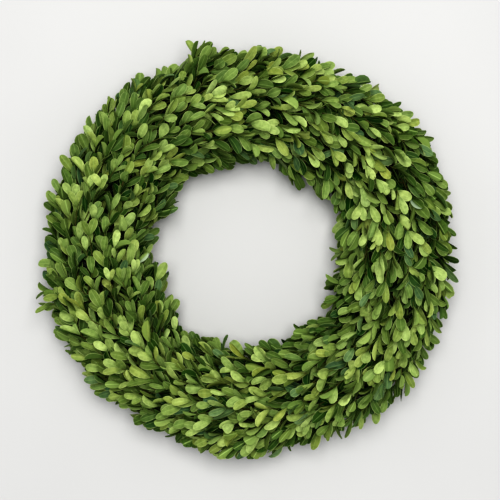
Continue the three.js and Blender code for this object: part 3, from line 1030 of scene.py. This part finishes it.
# Stems and twigs

# The tail of a bunch under the tie wire: its radius, its height, and how unevenly it is cut, in radians
# along the ring
TAIL_REACH = 3.6 * MM
TAIL_HEIGHT = 14.0 * MM
TAIL_SCATTER = 0.02
# How far the stems' heads fan out across the ring and up, and how much their ends flare
HEAD_WIDTH = 26 * MM
HEAD_RISE = 22 * MM
HEAD_FLARE = 0.5
# What is left of a stem's radius and of a twig's at its thin end
STEM_TAPER = 0.6
TWIG_TAPER = 0.45
# How far behind a sprig's root its twig looks for a stem, and how old the bark is where it leaves it
FORK_DISTANCE = 22 * MM
TWIG_AGE = 0.9
STEM_STEPS = 12
STEM_SIDES = 7
TWIG_SIDES = 5
TWIG_STEPS = 6
GOLDEN_TURN = math.pi * (3 - math.sqrt(5))


def bent(start, start_run, end, end_run, steps):
    """Points on a smooth bend from one point and direction to another."""
    share = np.linspace(0, 1, steps)[:, None]
    pull = np.linalg.norm(end - start)
    square = share ** 2
    cube = share ** 3
    return (
        (2 * cube - 3 * square + 1) * start + (cube - 2 * square + share) * pull * start_run
        + (3 * square - 2 * cube) * end + (cube - square) * pull * end_run
    )


def stem_line(sizes, bunch, place, draw):
    """A woody stem from its cut end under the tie wire to its head inside the foliage."""
    tail_angle = (bunch + TAIL_TURN) * BUNCH_ANGLE
    head_angle = (bunch + HEAD_TURN) * BUNCH_ANGLE
    # The stems stand evenly over a round tail, each a golden turn on from the last
    reach = math.sqrt((place + 0.5) / sizes.stems)
    way = place * GOLDEN_TURN
    tail = ring_point(
        np.float64(tail_angle + draw.normal(0, TAIL_SCATTER)), TAIL_REACH * reach * math.cos(way),
        TAIL_HEIGHT + TAIL_REACH * reach * math.sin(way),
    )
    head = ring_point(
        np.float64(head_angle), HEAD_WIDTH * reach * math.cos(way),
        sizes.middle_height + HEAD_RISE * reach * math.sin(way),
    )
    apart = outward(head_angle) * math.cos(way) + UP * math.sin(way)
    run = clockwise(head_angle) + HEAD_FLARE * apart * reach
    return bent(tail, clockwise(tail_angle), head, unit(run), STEM_STEPS)


def grow_stems(context):
    """One piece of wood for each bunch: its stems, and the twigs that carry its sprigs."""
    sizes = context.scene.wreath_sizes
    material = boxwood_bark(context.scene.wreath_colours)
    draw = np.random.default_rng(STEM_SEED)
    sprigs = plan_sprigs(sizes)
    for bunch, node in enumerate(STEM_NODES):
        stems = [stem_line(sizes, bunch, place, draw) for place in range(sizes.stems)]
        stem_radii = np.linspace(sizes.stem_radius, sizes.stem_radius * STEM_TAPER, STEM_STEPS)
        parts = [tube(stem, stem_radii, STEM_SIDES) for stem in stems]
        ages = [np.repeat(1.0, len(part[0])) for part in parts]
        for sprig in sprigs:
            if int(sprig.angle / BUNCH_ANGLE) != bunch:
                continue
            leafy, angle = sprig_path(sizes, sprig)
            leafy = leafy[::-1]
            root_run = unit(leafy[1] - leafy[0])
            origin = leafy[0] - clockwise(angle[-1]) * FORK_DISTANCE
            gaps = [np.linalg.norm(stem - origin, axis=1) for stem in stems]
            nearest = int(np.argmin([gap.min() for gap in gaps]))
            knot = int(np.clip(np.argmin(gaps[nearest]), 1, STEM_STEPS - 2))
            stem = stems[nearest]
            fork = bent(stem[knot], unit(stem[knot + 1] - stem[knot]), leafy[0], root_run, TWIG_STEPS)
            line = np.concatenate([fork[:-1], leafy])
            radii = np.linspace(sizes.twig_radius, TWIG_TAPER * sizes.twig_radius, len(line))
            parts.append(tube(line, radii, TWIG_SIDES))
            ages.append(np.repeat(np.linspace(TWIG_AGE, 0.0, len(line)), TWIG_SIDES))
        corners, faces, places = joined(parts)
        piece = new_piece(node.replace("stems", "twigs"), corners, faces, [material], places)
        age = piece.data.attributes.new("age", "FLOAT", "POINT")
        age.data.foreach_set("value", np.concatenate(ages).astype(np.float32))
        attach(piece, "root")
        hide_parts(node)


# Wire

RAIL_STEPS = 160
RAIL_SIDES = 12
BAR_STEPS = 40
# How steeply a bar bends up from the rails: at 1 it would rise all the way to the middle
BAR_STEEPNESS = 1.45
TIE_STEPS = 28
TIE_SIDES = 8
# The angle between the tie wire's ends, and how much flatter its turns are than they are wide
TIE_END_GAP = BUNCH_ANGLE / 7
TIE_FLATTENING = 0.1 * MM


def circle(radius, height):
    """Points round a ring at a radius and height."""
    angle = 2 * math.pi * np.arange(RAIL_STEPS) / RAIL_STEPS
    return ring_point(angle, np.full(RAIL_STEPS, radius - RING_RADIUS), np.full(RAIL_STEPS, height))


def bend_frame(context):
    """The ring frame: two rails on the ground, a raised one between them, and bars bent over them."""
    colours = context.scene.wreath_colours
    material = lacquered_wire("lacquered_steel_wire", colours.lacquer, "#3F5347", 0.3)
    parts = [
        tube(circle(OUTER_RAIL, RAIL_RADIUS), RAIL_RADIUS, RAIL_SIDES, closed=True),
        tube(circle(INNER_RAIL, RAIL_RADIUS), RAIL_RADIUS, RAIL_SIDES, closed=True),
        tube(circle(RING_RADIUS, RAISED_RAIL_HEIGHT), RAISED_RAIL_RADIUS, RAIL_SIDES, closed=True),
    ]
    rail_offset = OUTER_RAIL - RING_RADIUS
    for bar in range(BAR_COUNT):
        angle = TIE_TURN * BUNCH_ANGLE + bar * 2 * math.pi / BAR_COUNT
        share = np.linspace(-1, 1, BAR_STEPS)
        rise = 0.5 - 0.5 * np.cos(math.pi * np.clip(BAR_STEEPNESS * (1 - np.abs(share)), 0, 1))
        height = RAIL_RADIUS + (RAISED_RAIL_HEIGHT - RAIL_RADIUS) * rise
        line = ring_point(np.full(BAR_STEPS, angle), rail_offset * share, height)
        parts.append(tube(line, BAR_RADIUS, RAIL_SIDES))
    corners, faces, places = joined(parts)
    piece = new_piece("ring_wire", corners, faces, [material], places)
    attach(piece, "root")
    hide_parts("wire_frame")


def wind_tie(context):
    """The tie wire, with one turn round the raised rail and the stems of each bunch."""
    colours = context.scene.wreath_colours
    material = lacquered_wire("enamelled_tie_wire", colours.enamel, "#55704B", 0.25)
    share = np.linspace(0, 1, BUNCH_COUNT * TIE_STEPS)
    span = 2 * math.pi - TIE_END_GAP
    angle = TIE_TURN * BUNCH_ANGLE + share * span
    turn = math.pi / 2 + share * span * BUNCH_COUNT
    height = TIE_LOW.z + TIE_RADIUS + TIE_REACH
    rise = (TIE_REACH - TIE_FLATTENING) * np.sin(turn)
    line = ring_point(angle, TIE_REACH * np.cos(turn), height + rise)
    corners, faces, places = tube(line, TIE_RADIUS, TIE_SIDES)
    piece = new_piece("binding_wire", corners, faces, [material], places)
    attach(piece, "root")
    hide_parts("tie_wire")


# Stage

BOARD_SIZE = 16.0
# The soft box: its place, the length of its sides and its power in watts
LIGHT_PLACE = (0.04, 0.26, 1.7)
LIGHT_SIZE = 1.0
LIGHT_POWER = 19.9
# How brightly the pale room shines from all round
ROOM_GLOW = 0.32
# What the camera looks at, and how wide its view is there. The lens and the sensor are in mm
VIEW_CENTRE = Vector((1.9 * MM, 1.9 * MM, 45 * MM))
VIEW_WIDTH = 483.5 * MM
LENS = 80.0
SENSOR = 36.0


def soft_light(name, place, size, power, colour):
    """A square soft box that looks at the wreath's middle."""
    lamp = bpy.data.lights.new(name, "AREA")
    lamp.shape = "SQUARE"
    lamp.size = size
    lamp.energy = power
    lamp.color = linear(colour)[:3]
    box = bpy.data.objects.new(name, lamp)
    box.location = place
    box.rotation_euler = (-Vector(place)).to_track_quat("-Z", "Y").to_euler()
    bpy.context.scene.collection.objects.link(box)


def set_stage(context):
    """A pale board, one soft box above the top of the wreath, a pale room, and the camera overhead."""
    half = BOARD_SIZE / 2
    corners = [(-half, -half, 0), (half, -half, 0), (half, half, 0), (-half, half, 0)]
    board = new_piece("board", corners, [[0, 1, 2, 3]], [painted_board(context.scene.wreath_colours)])
    soft_light("key_light", LIGHT_PLACE, LIGHT_SIZE, LIGHT_POWER, "#FFFEFD")
    room = bpy.data.worlds.new("pale_room")
    context.scene.world = room
    room.use_nodes = True
    room.node_tree.nodes.clear()
    glow = add_node(
        room.node_tree, "ShaderNodeBackground", {"Color": linear("#F5F6F8"), "Strength": ROOM_GLOW}
    )
    add_node(room.node_tree, "ShaderNodeOutputWorld", {"Surface": glow.outputs["Background"]})
    lens = bpy.data.cameras.new("overhead")
    lens.lens = LENS
    lens.sensor_width = SENSOR
    camera = bpy.data.objects.new("overhead", lens)
    camera.location = VIEW_CENTRE + Vector((0, 0, VIEW_WIDTH * LENS / SENSOR))
    context.scene.collection.objects.link(camera)
    context.scene.camera = camera
    context.scene.view_settings.view_transform = "Standard"
    context.scene.view_settings.look = "Very High Contrast"


class WREATH_OT_foliage(Operator):
    """Lays the leafy sprigs of every bunch on the ring"""

    bl_idname = "wreath.foliage"
    bl_label = "Lay Foliage"

    def execute(self, context):
        lay_foliage(context)
        return {"FINISHED"}


class WREATH_OT_stems(Operator):
    """Grows the woody stems and the twigs of every bunch"""

    bl_idname = "wreath.stems"
    bl_label = "Grow Stems"

    def execute(self, context):
        grow_stems(context)
        return {"FINISHED"}


class WREATH_OT_frame(Operator):
    """Bends the wire ring frame"""

    bl_idname = "wreath.frame"
    bl_label = "Bend Ring Frame"

    def execute(self, context):
        bend_frame(context)
        return {"FINISHED"}


class WREATH_OT_tie(Operator):
    """Winds the tie wire round the ring and the stems"""

    bl_idname = "wreath.tie"
    bl_label = "Wind Tie Wire"

    def execute(self, context):
        wind_tie(context)
        return {"FINISHED"}


class WREATH_OT_stage(Operator):
    """Sets the board, the lights and the camera"""

    bl_idname = "wreath.stage"
    bl_label = "Set Stage"

    def execute(self, context):
        set_stage(context)
        return {"FINISHED"}


class VIEW3D_PT_wreath(Panel):
    """Lists the steps that make the wreath, and its sizes and colours"""

    bl_label = "Boxwood Wreath"
    bl_space_type = "VIEW_3D"
    bl_region_type = "UI"
    bl_category = "Wreath"

    def draw(self, context):
        for step in STEPS:
            self.layout.operator(step.bl_idname)
        for settings in (context.scene.wreath_sizes, context.scene.wreath_colours):
            column = self.layout.column()
            for name in settings.__annotations__:
                column.prop(settings, name)


STEPS = (WREATH_OT_foliage, WREATH_OT_stems, WREATH_OT_frame, WREATH_OT_tie, WREATH_OT_stage)
CLASSES = (WreathSizes, WreathColours, *STEPS, VIEW3D_PT_wreath)


def register():
    """Adds the settings, the steps and the panel."""
    for made in CLASSES:
        bpy.utils.register_class(made)
    bpy.types.Scene.wreath_sizes = PointerProperty(type=WreathSizes)
    bpy.types.Scene.wreath_colours = PointerProperty(type=WreathColours)


def unregister():
    """Takes the settings, the steps and the panel away."""
    del bpy.types.Scene.wreath_colours
    del bpy.types.Scene.wreath_sizes
    for made in reversed(CLASSES):
        bpy.utils.unregister_class(made)


def main():
    """Makes the wreath step by step."""
    register()
    bpy.ops.wreath.foliage()
    bpy.ops.wreath.stems()
    bpy.ops.wreath.frame()
    bpy.ops.wreath.tie()
    bpy.ops.wreath.stage()


if __name__ == "__main__":
    main()
